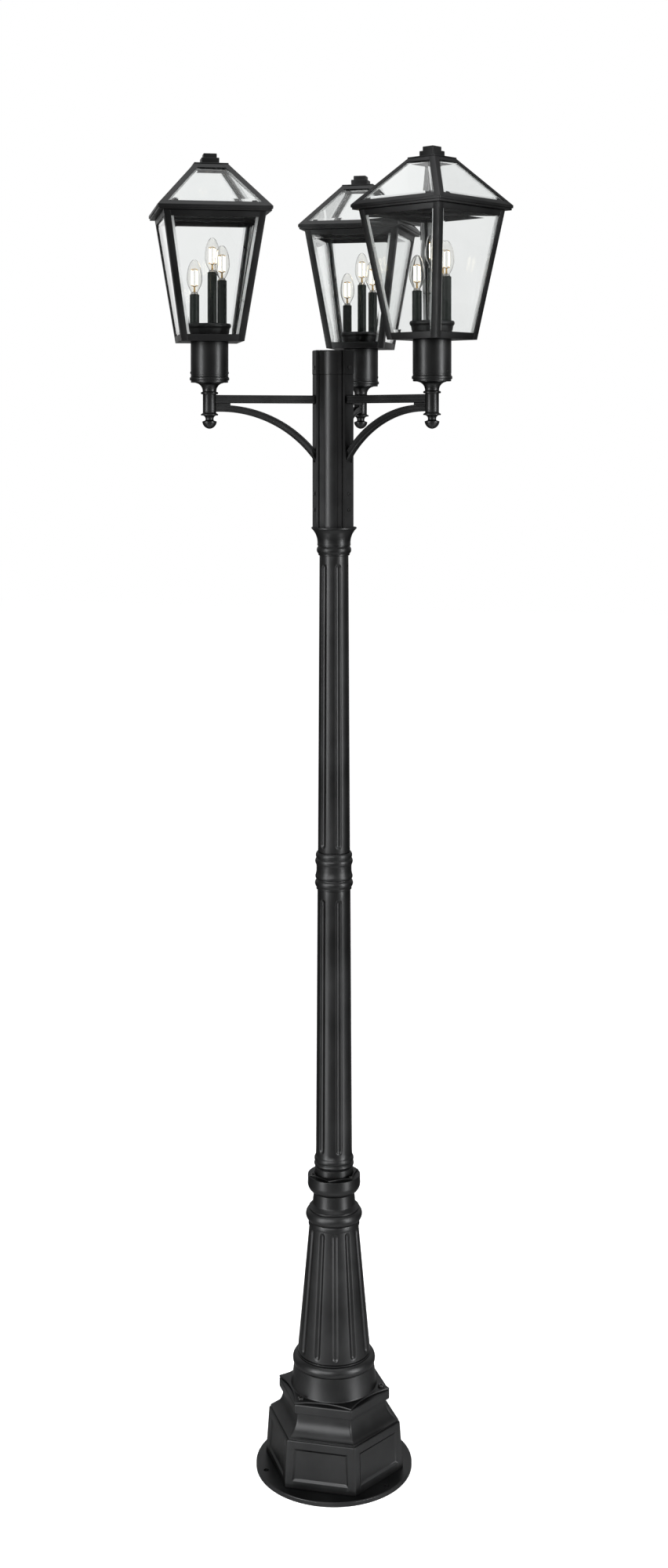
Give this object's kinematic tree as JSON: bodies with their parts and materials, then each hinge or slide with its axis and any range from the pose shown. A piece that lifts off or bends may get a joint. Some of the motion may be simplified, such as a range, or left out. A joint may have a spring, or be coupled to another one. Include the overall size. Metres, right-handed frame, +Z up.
{
  "type": "outdoor post light",
  "caption": "Tall black post light for outdoors: a fluted post on a hexagonal plinth and round base plate, with braced arms that carry tapered glazed lanterns with candle bulbs.",
  "frame": {"origin": "on the post's axis at the underside of the base plate, the centre of the anchor bolt circle", "axes": "+Z up the post, +Y along the rear arm, +X to the right, with the other arms at 210 and 330 degrees"},
  "size_m": [0.8475, 0.74, 2.992],
  "materials": {
    "black_coat": "satin black powder coat with a fine texture on cast and extruded aluminium",
    "screw_steel": "blackened steel",
    "pane_glass": "clear glass with bevelled edges",
    "bulb_glass": "clear glass around lit filaments",
    "candle_sleeve": "gloss black",
    "lamp_socket": "unglazed"
  },
  "bodies": {
    "post": {"base_plate": "black_coat", "hex_plinth": "black_coat", "fluted_bell": "black_coat", "flange_screws": "screw_steel", "lower_pole": "black_coat", "pole_coupling": "black_coat", "upper_pole": "black_coat", "pole_capital": "black_coat", "arm_post": "black_coat", "arm_post_cap": "black_coat", "arm_post_screws": "screw_steel", "arm_bar_rear": "black_coat", "arm_brace_rear": "black_coat", "arm_hub_rear": "black_coat", "drop_finial_rear": "black_coat", "arm_bar_left": "black_coat", "arm_brace_left": "black_coat", "arm_hub_left": "black_coat", "drop_finial_left": "black_coat", "arm_bar_right": "black_coat", "arm_brace_right": "black_coat", "arm_hub_right": "black_coat", "drop_finial_right": "black_coat"},
    "lantern_rear": {"fitter_rear": "black_coat", "cage_rear": "black_coat", "side_glass_rear": "pane_glass", "lamp_cup_rear": "black_coat", "candle_sleeves_rear": "candle_sleeve", "lamp_sockets_rear": "lamp_socket"},
    "roof_rear": {"roof_frame_rear": "black_coat", "roof_glass_rear": "pane_glass", "roof_finial_rear": "black_coat"},
    "lamp_tall_rear": {"bulb_tall_rear": "bulb_glass"},
    "lamp_low_rear": {"bulb_low_rear": "bulb_glass"},
    "lamp_mid_rear": {"bulb_mid_rear": "bulb_glass"},
    "lantern_left": {"fitter_left": "black_coat", "cage_left": "black_coat", "side_glass_left": "pane_glass", "lamp_cup_left": "black_coat", "candle_sleeves_left": "candle_sleeve", "lamp_sockets_left": "lamp_socket"},
    "roof_left": {"roof_frame_left": "black_coat", "roof_glass_left": "pane_glass", "roof_finial_left": "black_coat"},
    "lamp_tall_left": {"bulb_tall_left": "bulb_glass"},
    "lamp_low_left": {"bulb_low_left": "bulb_glass"},
    "lamp_mid_left": {"bulb_mid_left": "bulb_glass"},
    "lantern_right": {"fitter_right": "black_coat", "cage_right": "black_coat", "side_glass_right": "pane_glass", "lamp_cup_right": "black_coat", "candle_sleeves_right": "candle_sleeve", "lamp_sockets_right": "lamp_socket"},
    "roof_right": {"roof_frame_right": "black_coat", "roof_glass_right": "pane_glass", "roof_finial_right": "black_coat"},
    "lamp_tall_right": {"bulb_tall_right": "bulb_glass"},
    "lamp_low_right": {"bulb_low_right": "bulb_glass"},
    "lamp_mid_right": {"bulb_mid_right": "bulb_glass"}
  },
  "joints": [
    {"name": "lantern_rear_turn", "type": "hinge", "parent": "post", "child": "lantern_rear", "pos_m": [0, 0.293, 2.52], "axis": [0, 0, 1], "range_deg": [-180, 180]},
    {"name": "roof_rear_lift", "type": "slide", "parent": "lantern_rear", "child": "roof_rear", "axis": [0, 0, 1], "range_m": [0, 0.2]},
    {"name": "lamp_tall_rear_unscrew", "type": "hinge", "parent": "lantern_rear", "child": "lamp_tall_rear", "pos_m": [-0.00439, 0.32873, 2.7], "axis": [0, 0, 1], "range_deg": [0, 1440]},
    {"name": "lamp_low_rear_unscrew", "type": "hinge", "parent": "lantern_rear", "child": "lamp_low_rear", "pos_m": [-0.02875, 0.27133, 2.7], "axis": [0, 0, 1], "range_deg": [0, 1440]},
    {"name": "lamp_mid_rear_unscrew", "type": "hinge", "parent": "lantern_rear", "child": "lamp_mid_rear", "pos_m": [0.03314, 0.27893, 2.7], "axis": [0, 0, 1], "range_deg": [0, 1440]},
    {"name": "lantern_left_turn", "type": "hinge", "parent": "post", "child": "lantern_left", "pos_m": [-0.25374, -0.1465, 2.52], "axis": [0, 0, 1], "range_deg": [-180, 180]},
    {"name": "roof_left_lift", "type": "slide", "parent": "lantern_left", "child": "roof_left", "axis": [0, 0, 1], "range_m": [0, 0.2]},
    {"name": "lamp_tall_left_unscrew", "type": "hinge", "parent": "lantern_left", "child": "lamp_tall_left", "pos_m": [-0.25813, -0.11077, 2.7], "axis": [0, 0, 1], "range_deg": [0, 1440]},
    {"name": "lamp_low_left_unscrew", "type": "hinge", "parent": "lantern_left", "child": "lamp_low_left", "pos_m": [-0.2825, -0.16817, 2.7], "axis": [0, 0, 1], "range_deg": [0, 1440]},
    {"name": "lamp_mid_left_unscrew", "type": "hinge", "parent": "lantern_left", "child": "lamp_mid_left", "pos_m": [-0.22061, -0.16057, 2.7], "axis": [0, 0, 1], "range_deg": [0, 1440]},
    {"name": "lantern_right_turn", "type": "hinge", "parent": "post", "child": "lantern_right", "pos_m": [0.25374, -0.1465, 2.52], "axis": [0, 0, 1], "range_deg": [-180, 180]},
    {"name": "roof_right_lift", "type": "slide", "parent": "lantern_right", "child": "roof_right", "axis": [0, 0, 1], "range_m": [0, 0.2]},
    {"name": "lamp_tall_right_unscrew", "type": "hinge", "parent": "lantern_right", "child": "lamp_tall_right", "pos_m": [0.24936, -0.11077, 2.7], "axis": [0, 0, 1], "range_deg": [0, 1440]},
    {"name": "lamp_low_right_unscrew", "type": "hinge", "parent": "lantern_right", "child": "lamp_low_right", "pos_m": [0.225, -0.16817, 2.7], "axis": [0, 0, 1], "range_deg": [0, 1440]},
    {"name": "lamp_mid_right_unscrew", "type": "hinge", "parent": "lantern_right", "child": "lamp_mid_right", "pos_m": [0.28688, -0.16057, 2.7], "axis": [0, 0, 1], "range_deg": [0, 1440]}
  ]
}
